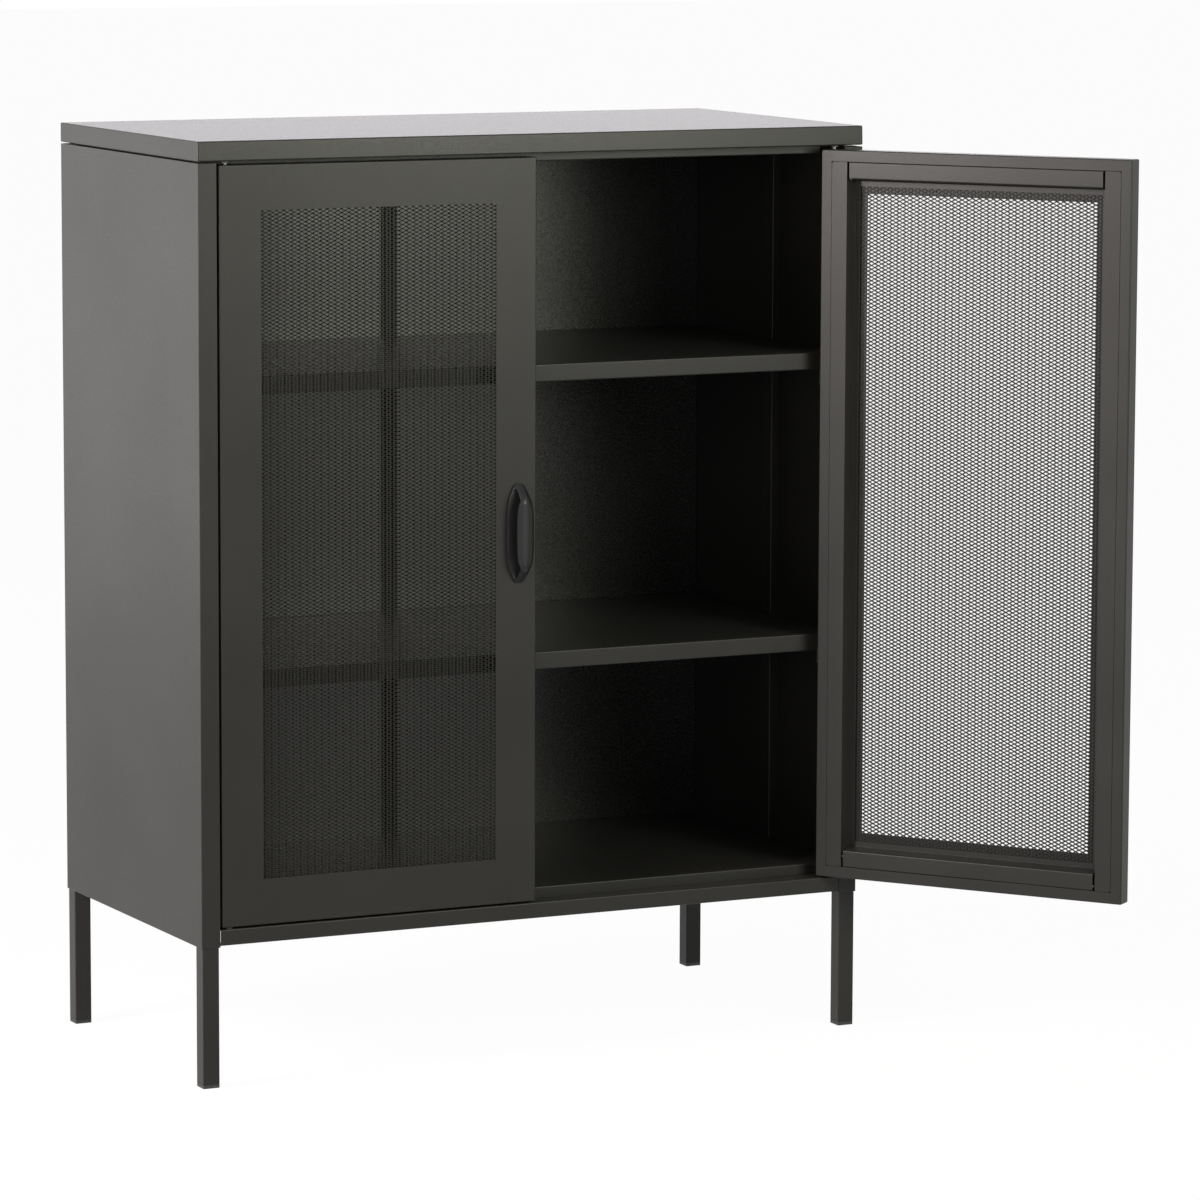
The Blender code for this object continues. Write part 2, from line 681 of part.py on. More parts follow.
# The handle stands on the front of the free stile.  Its hood leans towards the
# free edge and the finger hollow opens towards the window.
def handle_loop(bm, side, across, window_side, free_side, half_length, taper, height):
    """Eight-sided outline of the handle at one height above the door.

    The long sides are given from the middle line; a taper is (width, length).
    """
    tw, tl = taper
    outline = [
        (-window_side, -half_length + tl), (-window_side + tw, -half_length),
        (free_side - tw, -half_length), (free_side, -half_length + tl),
        (free_side, half_length - tl), (free_side - tw, half_length),
        (-window_side + tw, half_length), (-window_side, half_length - tl),
    ]
    return [bm.verts.new(door_point(side, across + dx, -height, HANDLE_HEIGHT + dz))
            for dx, dz in outline]


def handle_solid(side, across, stages):
    """Closed solid through a stack of handle outlines."""
    bm = bmesh.new()
    loops = [handle_loop(bm, side, across, *stage) for stage in stages]
    for a, b in zip(loops, loops[1:]):
        for i in range(8):
            j = (i + 1) % 8
            bm.faces.new((a[i], a[j], b[j], b[i]))
    bm.faces.new(loops[0])
    bm.faces.new(loops[-1])
    return bm


def add_handle(side, tag, hinge):
    """Scoop handle: a hood over a finger hollow that is open towards the window.

    Returns the handle and the bores for its screws.
    """
    wide = DOOR_OUTER - DOOR_INNER
    across = wide - HANDLE_FROM_EDGE
    half_w, half_l = HANDLE_WIDTH / 2, HANDLE_LENGTH / 2
    lip, wall = HANDLE_LIP, HANDLE_WALL
    taper = (0.0088, 0.0220)
    handle = make_object(tag + "_door_handle", handle_solid(side, across, [
        (half_w, half_w, half_l, taper, GAP),
        (half_w, half_w, half_l, taper, HANDLE_BASE * 0.5),
        (lip + 0.0032, half_w - 0.0006, half_l - 0.0070, (0.0080, 0.0180), HANDLE_REACH * 0.50),
        (lip + 0.0008, half_w - 0.0035, half_l - 0.0125, (0.0065, 0.0140), HANDLE_REACH * 0.84),
        (lip, half_w - 0.0075, half_l - 0.0165, (0.0050, 0.0100), HANDLE_REACH),
    ]), black_plastic, hinge)

    # the hollow follows the outline, one wall thickness inside the hood
    mouth = half_w + 0.006
    half_grip = HANDLE_GRIP / 2
    roof = HANDLE_REACH - wall * 1.2
    cut(handle, cutter("finger_hollow_" + tag, handle_solid(side, across, [
        (mouth, half_w - 0.0045, half_grip + 0.0100, (0.0060, 0.0160), HANDLE_BASE),
        (mouth, half_w - 0.0050, half_grip + 0.0060, (0.0060, 0.0140), HANDLE_REACH * 0.50),
        (mouth, half_w - 0.0080, half_grip, (0.0050, 0.0100), roof),
    ]), hinge))

    bores = []
    for end, end_tag in ((-1, "lower"), (1, "upper")):
        z = HANDLE_HEIGHT + end * SCREW_SPACING / 2
        place = door_point(side, across, 0, z)
        # heights run towards -Y once the screw is laid down; its head is in the stile
        head = -SHEET - GAP
        profile = [
            (0, SCREW_BITE), (SCREW_RADIUS, SCREW_BITE), (SCREW_RADIUS, head),
            (SCREW_HEAD_RADIUS, head), (SCREW_HEAD_RADIUS, head - SCREW_HEAD * 0.6),
            (SCREW_HEAD_RADIUS * 0.6, head - SCREW_HEAD), (0, head - SCREW_HEAD),
        ]
        make_object(f"{tag}_handle_screw_{end_tag}", turned(profile, place, "Y"), zinc,
                    hinge, smooth=True)
        bores.append(rod(SCREW_RADIUS + GAP, -2 * SHEET, SCREW_BITE + GAP, place, "Y"))
    return handle, bores


# ---------------------------------------------------------------- assembly
clear_scene()
add_top_panel()
add_side_panel(-1, "left")
add_side_panel(1, "right")
add_rails()
add_bottom_panel()
add_back()
for shelf_name, shelf_top in SHELF_TOPS.items():
    add_shelf(shelf_name, shelf_top)
add_legs()
add_door(-1, "left", 0.0)
add_door(1, "right", RIGHT_DOOR_OPEN)
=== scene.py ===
"""Steel sideboard buffet: folded sheet metal on square legs, with two mesh-window doors."""

import json
import math

import bmesh
import bpy
from mathutils import Matrix, Vector

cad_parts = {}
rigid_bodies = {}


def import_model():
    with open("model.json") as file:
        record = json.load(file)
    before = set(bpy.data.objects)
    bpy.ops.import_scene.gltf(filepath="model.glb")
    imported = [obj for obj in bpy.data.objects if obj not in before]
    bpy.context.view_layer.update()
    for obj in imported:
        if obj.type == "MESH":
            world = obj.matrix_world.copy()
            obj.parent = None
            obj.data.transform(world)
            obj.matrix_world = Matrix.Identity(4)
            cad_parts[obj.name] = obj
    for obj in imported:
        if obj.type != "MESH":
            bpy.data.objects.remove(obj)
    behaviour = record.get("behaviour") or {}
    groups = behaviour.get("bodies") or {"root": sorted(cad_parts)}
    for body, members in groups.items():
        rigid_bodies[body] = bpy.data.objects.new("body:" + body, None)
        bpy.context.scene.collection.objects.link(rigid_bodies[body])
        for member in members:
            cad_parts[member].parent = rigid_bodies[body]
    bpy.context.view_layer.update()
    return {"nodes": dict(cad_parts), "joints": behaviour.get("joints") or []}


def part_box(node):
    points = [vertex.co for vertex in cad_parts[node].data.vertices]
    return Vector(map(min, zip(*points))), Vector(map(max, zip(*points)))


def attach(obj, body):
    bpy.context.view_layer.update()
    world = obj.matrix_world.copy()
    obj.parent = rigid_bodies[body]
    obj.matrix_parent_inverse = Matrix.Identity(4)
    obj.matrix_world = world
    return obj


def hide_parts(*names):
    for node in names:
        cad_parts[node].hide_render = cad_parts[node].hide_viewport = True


for leftover in list(bpy.data.objects):
    bpy.data.objects.remove(leftover, do_unlink=True)

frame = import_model()


# ---------------------------------------------------------------- the legs
# Four square steel tubes with rolled corners, plugged into the folds of the flanks and
# powder-coated in charcoal with the rest of the carcass.  Fine grain shows in the coat.
CHARCOAL = (0.0110, 0.0108, 0.0096)
CHARCOAL_PALE = (0.0170, 0.0167, 0.0150)
SMOOTH_UP_TO = math.radians(38)
TUBE_WALL = 0.0015
TUBE_CORNER = 0.0012


def add_nodes(material):
    """A fresh Principled shader, with a function that adds and links nodes to it."""
    material.use_nodes = True
    tree = material.node_tree
    shader = tree.nodes["Principled BSDF"]

    def node(kind, inputs=None, **settings):
        made = tree.nodes.new(kind)
        for key, value in settings.items():
            setattr(made, key, value)
        for key, value in (inputs or {}).items():
            if isinstance(value, bpy.types.NodeSocket):
                tree.links.new(value, made.inputs[key])
            else:
                made.inputs[key].default_value = value
        return made

    return tree, shader, node


def blended(node, share, first, second):
    """The colour output of a Mix node; its colour sockets come after its other ones."""
    mix = node("ShaderNodeMix", {"Factor": share}, data_type="RGBA")
    mix.inputs[6].default_value = (*first, 1)
    mix.inputs[7].default_value = (*second, 1)
    return mix.outputs[2]


def powder_coat(name, dark, pale, roughness=0.38, sheen=0.20, grain_depth=0.00006):
    """Baked powder coat: an orange-peel grain, pale specks and faint clouding."""
    material = bpy.data.materials.new(name)
    tree, shader, node = add_nodes(material)
    place = node("ShaderNodeTexCoord").outputs["Object"]
    clouds = node("ShaderNodeTexNoise", {"Vector": place, "Scale": 7.0, "Detail": 3.0})
    grain = node("ShaderNodeTexNoise", {"Vector": place, "Scale": 620.0, "Detail": 2.0})
    specks = node("ShaderNodeTexNoise", {"Vector": place, "Scale": 1500.0, "Detail": 1.0})
    blend = node("ShaderNodeMath", {0: clouds.outputs["Fac"], 1: specks.outputs["Fac"]},
                 operation="MULTIPLY")
    level = node("ShaderNodeMapRange", {
        "Value": blend.outputs[0], "From Min": 0.12, "From Max": 0.42})
    colour = blended(node, level.outputs["Result"], dark, pale)
    dull = node("ShaderNodeMapRange", {
        "Value": grain.outputs["Fac"], "From Min": 0.3, "From Max": 0.7,
        "To Min": roughness - 0.05, "To Max": roughness + 0.06})
    ripple = node("ShaderNodeTexNoise", {"Vector": place, "Scale": 260.0, "Detail": 3.0})
    wave = node("ShaderNodeBump", {
        "Height": ripple.outputs["Fac"], "Strength": 0.30, "Distance": 2 * grain_depth})
    peel = node("ShaderNodeBump", {
        "Height": grain.outputs["Fac"], "Strength": 0.45, "Distance": grain_depth,
        "Normal": wave.outputs["Normal"]})
    shader.inputs["Specular IOR Level"].default_value = sheen
    tree.links.new(colour, shader.inputs["Base Color"])
    tree.links.new(dull.outputs["Result"], shader.inputs["Roughness"])
    tree.links.new(peel.outputs["Normal"], shader.inputs["Normal"])
    return material


def block(lo, hi):
    """A box between two corners."""
    lo, hi = Vector(lo), Vector(hi)
    bm = bmesh.new()
    bmesh.ops.create_cube(bm, size=1.0, matrix=Matrix.Translation((lo + hi) / 2)
                          @ Matrix.Diagonal((*(hi - lo), 1.0)))
    return bm


def facing(bm, direction):
    """The face that looks most squarely, and lies furthest, along a direction."""
    bm.normal_update()
    way = Vector(direction)
    return max(bm.faces, key=lambda f: (round(f.normal.dot(way), 2),
                                        f.calc_center_median().dot(way)))


def edges_along(bm, axis, longest=0.0):
    """Edges that run along an axis (0 X, 1 Y, 2 Z) and are longer than a length."""
    found = []
    for edge in bm.edges:
        run = edge.verts[1].co - edge.verts[0].co
        if run.length > longest and abs(run[axis]) > 0.98 * run.length:
            found.append(edge)
    return found


def ease(bm, edges, width, segments=3):
    """Round edges off."""
    bmesh.ops.bevel(bm, geom=edges, offset=width, offset_type="OFFSET", segments=segments,
                    profile=0.5, affect="EDGES", clamp_overlap=True, material=-1)


def finish(name, bm, material, body, nodes, flat_faces=True):
    """A finished piece: level faces, smooth shading across its folds, riding on its body."""
    mesh = bpy.data.meshes.new(name)
    bm.to_mesh(mesh)
    bm.free()
    mesh.shade_smooth()
    mesh.set_sharp_from_angle(angle=SMOOTH_UP_TO)
    piece = bpy.data.objects.new(name, mesh)
    piece.data.materials.append(material)
    bpy.context.scene.collection.objects.link(piece)
    if flat_faces:
        piece.modifiers.new("level_faces", "WEIGHTED_NORMAL").keep_sharp = True
    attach(piece, body)
    if nodes:
        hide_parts(*nodes)
    return piece


coat = powder_coat("charcoal_powder_coat", CHARCOAL, CHARCOAL_PALE)
LEGS = [f"leg_{end}_{side}" for end in ("front", "rear") for side in ("left", "right")]
for leg in LEGS:
    low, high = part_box(leg)
    tube = block(low, high)
    ease(tube, edges_along(tube, 2), TUBE_CORNER, 4)
    rims = []
    for way in ((0, 0, 1), (0, 0, -1)):
        end = facing(tube, way)
        bmesh.ops.inset_region(tube, faces=[end], thickness=TUBE_WALL, use_even_offset=True)
        rims += list(end.edges)
        bmesh.ops.delete(tube, geom=[end], context="FACES_ONLY")
    bmesh.ops.bridge_loops(tube, edges=rims)
    bmesh.ops.recalc_face_normals(tube, faces=tube.faces)
    finish(leg + "_tube", tube, coat, "cabinet", [leg])


# ---------------------------------------------------------------- the feet
# Ribbed plastic plugs pushed into the open ends of the legs.  Their flanges keep the
# steel off the floor and have an eased lower edge.
FOOT_FLANGE = 0.004
FLANGE_EDGE = 0.0007
PLUG_INSET = 0.0018


def moulded(name, colour, roughness, sheen=0.5):
    """Moulded plastic: one deep colour with a fine spark-eroded texture."""
    material = bpy.data.materials.new(name)
    tree, shader, node = add_nodes(material)
    place = node("ShaderNodeTexCoord").outputs["Object"]
    fleck = node("ShaderNodeTexNoise", {"Vector": place, "Scale": 900.0, "Detail": 3.0})
    haze = node("ShaderNodeTexNoise", {"Vector": place, "Scale": 30.0, "Detail": 2.0})
    tone = blended(node, haze.outputs["Fac"], [c * 0.9 for c in colour],
                   [c * 1.15 for c in colour])
    dull = node("ShaderNodeMapRange", {
        "Value": fleck.outputs["Fac"], "To Min": roughness - 0.05, "To Max": roughness + 0.07})
    bump = node("ShaderNodeBump", {
        "Height": fleck.outputs["Fac"], "Strength": 0.25, "Distance": 0.00003})
    shader.inputs["Specular IOR Level"].default_value = sheen
    tree.links.new(tone, shader.inputs["Base Color"])
    tree.links.new(dull.outputs["Result"], shader.inputs["Roughness"])
    tree.links.new(bump.outputs["Normal"], shader.inputs["Normal"])
    return material


def stretch(bm, face, lo, hi):
    """Extrude a face and put its new corners on the corners of a box."""
    face = bmesh.ops.extrude_discrete_faces(bm, faces=[face])["faces"][0]
    middle = face.calc_center_median()
    for vert in face.verts:
        for k in range(3):
            vert.co[k] = lo[k] if vert.co[k] < middle[k] else hi[k]
    return face


black_plastic = moulded("black_plastic", (0.012, 0.012, 0.012), 0.5)
for leg in LEGS:
    foot = leg.replace("leg", "foot_cap")
    low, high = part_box(foot)
    plug = block(low, (high.x, high.y, FOOT_FLANGE))
    top = facing(plug, (0, 0, 1))
    inner_low = low + Vector((PLUG_INSET, PLUG_INSET, 0))
    inner_high = high - Vector((PLUG_INSET, PLUG_INSET, 0))
    for level in (FOOT_FLANGE, high.z):
        inner_low.z = inner_high.z = level
        top = stretch(plug, top, inner_low, inner_high)
    ease(plug, [e for e in edges_along(plug, 2) if e.verts[0].co.z + e.verts[1].co.z < 0.005],
         TUBE_CORNER, 4)
    ease(plug, [e for e in plug.edges if all(v.co.z < 1e-4 for v in e.verts)], FLANGE_EDGE, 2)
    finish(foot + "_plug", plug, black_plastic, "cabinet", [foot])


# -------------------------------------------------------------- the flanks
# Each flank is one folded steel sheet, powder-coated: a square post at the front corner, a
# turned-in rear edge, and hems along the top and bottom.  Small fold radii catch light.
SHEET = 0.001
GAP = 0.0003
FOLD = 0.0013
INNER_BEND = 0.0005
BURR = 0.0002
SHARP_FOLD = 0.9
POST_FACE = 0.0217
REAR_FOLD = 0.021
POST_DEPTH = 0.020
HEM = 0.012
UPSTAND = 0.002
TRAY_GAP = 0.0018


def push_ring(bm, edges, step):
    """Extrude a ring of edges by a step and give back the new ring."""
    grown = bmesh.ops.extrude_edge_only(bm, edges=edges)["geom"]
    moved = {g for g in grown if isinstance(g, bmesh.types.BMVert)}
    bmesh.ops.translate(bm, verts=list(moved), vec=step)
    return [g for g in grown if isinstance(g, bmesh.types.BMEdge)
            and all(v in moved for v in g.verts)]


def section_bar(points, stations, axis):
    """Extrude a flat section along an axis: (y, z) along X, (x, z) along Y, (x, y) along Z."""
    bm = bmesh.new()

    def place(u, v, s):
        return Vector({0: (s, u, v), 1: (u, s, v), 2: (u, v, s)}[axis])

    ring = [bm.verts.new(place(u, v, stations[0])) for u, v in points]
    edges = [bm.edges.new(pair) for pair in zip(ring, ring[1:] + ring[:1])]
    bm.faces.new(ring)
    for here, there in zip(stations, stations[1:]):
        edges = push_ring(bm, edges, place(0, 0, there) - place(0, 0, here))
    bmesh.ops.contextual_create(bm, geom=edges)
    bmesh.ops.recalc_face_normals(bm, faces=bm.faces)
    return bm


def pull_face(bm, near, step):
    """Extrude the face nearest a point by a step."""
    face = min(bm.faces, key=lambda f: (f.calc_center_median() - Vector(near)).length)
    grown = bmesh.ops.extrude_discrete_faces(bm, faces=[face])
    bmesh.ops.translate(bm, verts=grown["faces"][0].verts, vec=step)


def thin(face):
    """True for a cut edge of the sheet: a face about as wide as the sheet is thick."""
    return 2 * face.calc_area() < 1.4 * SHEET * sum(e.calc_length() for e in face.edges)


def round_folds(bm, fold=FOLD):
    """Give folds their outer and inner radius, and take the burr off cut edges."""
    for kind, width, segments in (("fold", fold, 4), ("bend", INNER_BEND, 2), ("rim", BURR, 1)):
        bm.normal_update()
        chosen = []
        for edge in bm.edges:
            if len(edge.link_faces) != 2 or edge.calc_face_angle(0) < SHARP_FOLD:
                continue
            cut = any(thin(f) for f in edge.link_faces)
            sort = "rim" if cut else "fold" if edge.is_convex else "bend"
            if sort == kind:
                chosen.append(edge)
        if chosen:
            ease(bm, chosen, width, segments)


for side, tag in ((-1, "left"), (1, "right")):
    node_name = "side_panel_" + tag
    low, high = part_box(node_name)
    out = side * max(abs(low.x), abs(high.x))
    skin = out - side * SHEET
    post = out - side * POST_FACE
    fold_in = out - side * REAR_FOLD
    front, back = low.y, high.y
    carcass_top = high.z - TRAY_GAP + GAP
    post_end = front + POST_DEPTH
    flank = section_bar([
        (out, front), (post, front), (post, post_end), (post + side * SHEET, post_end),
        (post + side * SHEET, front + SHEET), (skin, front + SHEET),
        (skin, post_end + SHEET), (skin, back - SHEET - POST_DEPTH),
        (skin, back - SHEET), (fold_in, back - SHEET), (fold_in, back), (out, back),
    ], (low.z, low.z + SHEET, carcass_top - SHEET, carcass_top), 2)
    middle = (post_end + back - POST_DEPTH) / 2
    bend_x = skin - side * (HEM - UPSTAND)
    hem_z = carcass_top - SHEET / 2
    pull_face(flank, (skin, middle, low.z + SHEET / 2), (-side * HEM, 0, 0))
    pull_face(flank, (skin, middle, hem_z), (bend_x - skin, 0, 0))
    pull_face(flank, (bend_x, middle, hem_z), (-side * UPSTAND, 0, 0))
    pull_face(flank, (bend_x - side * UPSTAND / 2, middle, carcass_top),
              (0, 0, high.z - carcass_top))
    bmesh.ops.recalc_face_normals(flank, faces=flank.faces)
    upright = set(edges_along(flank, 2, 0.3))
    ease(flank, [e for e in upright if abs(abs(e.verts[0].co.x) - abs(out)) < 1e-5
                 or abs(e.verts[0].co.x - post) < 1e-5 and e.verts[0].co.y < 0], FOLD, 4)
    ease(flank, [e for e in flank.edges if abs(e.verts[0].co.z - low.z) < 1e-5
                 and abs(e.verts[1].co.z - low.z) < 1e-5
                 and abs(e.verts[0].co.x - out) < 1e-4 and e.calc_length() > 0.3], 0.0006, 2)
    finish(node_name + "_folded", flank, coat, "cabinet", [node_name])


# --------------------------------------------------------------- the rails
# Folded steel channels between the posts.  The front bottom rail has a ledge that carries
# the floor and the lower hinge bushes; the front top rail is a stop strip under the tray.
RAIL_RETURN = 0.014


def channel(name, points):
    """A folded bar along X from a function that draws its (y, z) section."""
    low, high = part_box(name)
    bar = section_bar(points(low, high), (low.x, high.x), 0)
    round_folds(bar)
    finish(name + "_folded", bar, coat, "cabinet", [name])


channel("front_bottom_rail", lambda lo, hi: [
    (lo.y, lo.z), (lo.y + RAIL_RETURN, lo.z), (lo.y + RAIL_RETURN, lo.z + SHEET),
    (lo.y + SHEET, lo.z + SHEET), (lo.y + SHEET, hi.z - SHEET),
    (hi.y, hi.z - SHEET), (hi.y, hi.z), (lo.y, hi.z)])
channel("rear_bottom_rail", lambda lo, hi: [
    (hi.y, lo.z), (hi.y, hi.z), (lo.y, hi.z), (lo.y, hi.z - SHEET),
    (hi.y - SHEET, hi.z - SHEET), (hi.y - SHEET, lo.z + SHEET),
    (hi.y - RAIL_RETURN, lo.z + SHEET), (hi.y - RAIL_RETURN, lo.z)])
channel("front_top_rail", lambda lo, hi: [
    (lo.y, lo.z), (hi.y, lo.z), (hi.y, lo.z + SHEET), (lo.y + SHEET, lo.z + SHEET),
    (lo.y + SHEET, hi.z - SHEET), (hi.y, hi.z - SHEET), (hi.y, hi.z), (lo.y, hi.z)])
channel("rear_top_rail", lambda lo, hi: [
    (hi.y, lo.z), (hi.y, hi.z), (lo.y, hi.z), (lo.y, hi.z - SHEET),
    (hi.y - SHEET, hi.z - SHEET), (hi.y - SHEET, lo.z)])


# ------------------------------------------------------ floor and shelves
# The floor and the two loose shelves are trays folded from one coated sheet, edges down.
# The shelves have a narrow return under their edges and lie on the clips.
SHELF_LIP = 0.010
TRAY_FOLD = 0.0014


def folded_tray(lo, hi, lips=None):
    """A tray that opens downwards; lips are its left, front, right and rear returns."""
    bm = block(lo, hi)
    face = facing(bm, (0, 0, -1))
    cave_lo = Vector((lo.x + SHEET, lo.y + SHEET, lo.z))
    cave_hi = Vector((hi.x - SHEET, hi.y - SHEET, lo.z))
    if lips:
        mouth_lo = Vector((lo.x + lips[0], lo.y + lips[1], lo.z))
        mouth_hi = Vector((hi.x - lips[2], hi.y - lips[3], lo.z))
        face = stretch(bm, face, mouth_lo, mouth_hi)
        rise = Vector((0, 0, SHEET))
        for a, b in ((mouth_lo, mouth_hi), (cave_lo, cave_hi)):
            face = stretch(bm, face, a + rise, b + rise)
    else:
        face = stretch(bm, face, cave_lo, cave_hi)
    roof = Vector((0, 0, hi.z - SHEET - lo.z))
    stretch(bm, face, cave_lo + roof, cave_hi + roof)
    bmesh.ops.recalc_face_normals(bm, faces=bm.faces)
    return bm


for name, lips in (("bottom_panel", None), ("shelf_lower", (SHELF_LIP,) * 4),
                   ("shelf_upper", (SHELF_LIP,) * 4)):
    tray = folded_tray(*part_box(name), lips)
    round_folds(tray, TRAY_FOLD)
    finish(name + "_tray", tray, coat, "cabinet", [name])


# ----------------------------------------------------- back and stiffeners
# Two flat back sheets, in a smoother coat, meet under a strip of matt black plastic.  A
# coated hat section of the same kind is spot-welded inside each flank.
STRIP_FOLD = 0.0009
back_coat = powder_coat("smooth_powder_coat", CHARCOAL, CHARCOAL_PALE, 0.27, 0.5, 0.00003)
for tag in ("left", "right"):
    name = "back_panel_" + tag
    sheet = block(*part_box(name))
    ease(sheet, list(sheet.edges), BURR, 1)
    finish(name + "_sheet", sheet, back_coat, "cabinet", [name])

low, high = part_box("back_joint_strip")
strip = section_bar([
    (low.x, high.y), (low.x, low.y), (high.x, low.y), (high.x, high.y),
    (high.x - SHEET, high.y), (high.x - SHEET, low.y + SHEET),
    (low.x + SHEET, low.y + SHEET), (low.x + SHEET, high.y)], (low.z, high.z), 2)
round_folds(strip, STRIP_FOLD)
matt_plastic = moulded("matt_black_plastic", (0.004, 0.004, 0.004), 0.60, 0.05)
finish("back_joint_strip_hat", strip, matt_plastic, "cabinet",
       ["back_joint_strip"])

for side, tag in ((-1, "left"), (1, "right")):
    name = "side_stiffener_" + tag
    low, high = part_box(name)
    wall, crown = (low.x, high.x) if side < 0 else (high.x, low.x)
    under = crown + side * SHEET
    hat = section_bar([
        (wall, low.y), (crown, low.y), (crown, high.y), (wall, high.y),
        (wall, high.y - SHEET), (under, high.y - SHEET), (under, low.y + SHEET),
        (wall, low.y + SHEET)], (low.z, high.z), 2)
    round_folds(hat)
    finish(name + "_hat", hat, coat, "cabinet", [name])


# --------------------------------------------------------- the shelf clips
# Small steel angles, bright zinc plate.  They are hooked into the flanks, two to each end
# of a shelf.
CLIP_SHEET = 0.002
CLIP_EDGE = 0.0004


def plated(name, dark, pale):
    """Zinc plate: bare metal with a faint brushed and mottled finish."""
    material = bpy.data.materials.new(name)
    tree, shader, node = add_nodes(material)
    shader.inputs["Metallic"].default_value = 1.0
    place = node("ShaderNodeTexCoord").outputs["Object"]
    mottle = node("ShaderNodeTexNoise", {"Vector": place, "Scale": 260.0, "Detail": 4.0})
    tone = blended(node, mottle.outputs["Fac"], (dark, dark, dark * 1.02),
                   (pale, pale, pale * 1.02))
    dull = node("ShaderNodeMapRange", {
        "Value": mottle.outputs["Fac"], "To Min": 0.24, "To Max": 0.42})
    tree.links.new(tone, shader.inputs["Base Color"])
    tree.links.new(dull.outputs["Result"], shader.inputs["Roughness"])
    return material


zinc = plated("zinc_plate", 0.50, 0.66)
for level in ("lower", "upper"):
    for end in ("front", "rear"):
        for side, tag in ((-1, "left"), (1, "right")):
            name = f"shelf_clip_{level}_{end}_{tag}"
            low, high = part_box(name)
            wall, tip = (low.x, high.x) if side < 0 else (high.x, low.x)
            plate = wall - side * CLIP_SHEET
            clip = section_bar([
                (wall, low.z), (wall, high.z), (tip, high.z), (tip, high.z - CLIP_SHEET),
                (plate, high.z - CLIP_SHEET), (plate, low.z)], (low.y, high.y), 1)
            ease(clip, [e for e in clip.edges if e.calc_face_angle(0) > SHARP_FOLD],
                 CLIP_EDGE, 2)
            finish(name + "_angle", clip, zinc, "cabinet", [name])


# ------------------------------------------------------------ the top tray
# The top is a shallow tray folded from one coated sheet, with closed corners and a return
# all round underneath.  Its return holds the upper hinge bushes, and its front drop leans.
TOP_LIPS = (0.018, 0.040, 0.018, 0.030)
TOP_FOLD = 0.0016
DROP_LEAN = 0.0008
low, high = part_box("top_panel")
top_tray = folded_tray(low, high, TOP_LIPS)
for vert in top_tray.verts:
    if vert.co.y < low.y + 2 * SHEET and vert.co.z > high.z - 2 * SHEET:
        vert.co.y += DROP_LEAN
round_folds(top_tray, TOP_FOLD)
finish("top_tray", top_tray, coat, "cabinet", ["top_panel"])


# ---------------------------------------------------------- hinge bushes
# Flanged bushes in black plastic.  Two are pressed into the ledge of the front bottom rail
# and two into the return of the top tray.
def recoat(node_name, material):
    """Give a CAD node that keeps its shape its material."""
    surfaces = frame["nodes"][node_name].data.materials
    surfaces.clear()
    surfaces.append(material)


for end in ("bottom", "top"):
    for tag in ("left", "right"):
        recoat(f"hinge_bush_{end}_{tag}", black_plastic)


# ---------------------------------------------------------- the door pans
# Each door is a folded, coated pan with a window cut in its face and a return round its
# inner side.  Doors are drawn as the right one shut, then mirrored or swung open.
left_low, left_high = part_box("left_door_pan")
DOOR_OUT, DOOR_IN = -left_low.x, -left_high.x
DOOR_LOW, DOOR_HIGH = left_low.z, left_high.z
DOOR_FRONT, DOOR_BACK = left_low.y, left_high.y
DOOR_FLANGE = 0.0128
PAN_FOLD = 0.0015
WINDOW_SIDE, WINDOW_TOP, WINDOW_BOTTOM = 0.0484, 0.0490, 0.0500
SWINGS = {joint["child"]: joint for joint in frame["joints"]}
hinge_at = Vector(SWINGS["right_door"]["pos_m"])
hinge_at.z = 0.0
open_angle = math.radians(-SWINGS["right_door"]["range_deg"][0])


def hang(bm, tag):
    """Put geometry drawn for the right door, shut, where that door or the left one is."""
    if tag == "left":
        bmesh.ops.scale(bm, verts=bm.verts, vec=(-1, 1, 1))
        bmesh.ops.reverse_faces(bm, faces=bm.faces)
    else:
        swing = Matrix.Translation(hinge_at) @ Matrix.Rotation(open_angle, 4, "Z")
        bmesh.ops.transform(bm, verts=bm.verts, matrix=swing @ Matrix.Translation(-hinge_at))


def door_piece(name, bm, material, tag, replaced):
    """Finish a piece drawn for the right door, on one of the doors."""
    bmesh.ops.recalc_face_normals(bm, faces=bm.faces)
    hang(bm, tag)
    nodes = [f"{tag}_{r}" for r in replaced]
    return finish(f"{tag}_{name}", bm, material, tag + "_door", nodes)


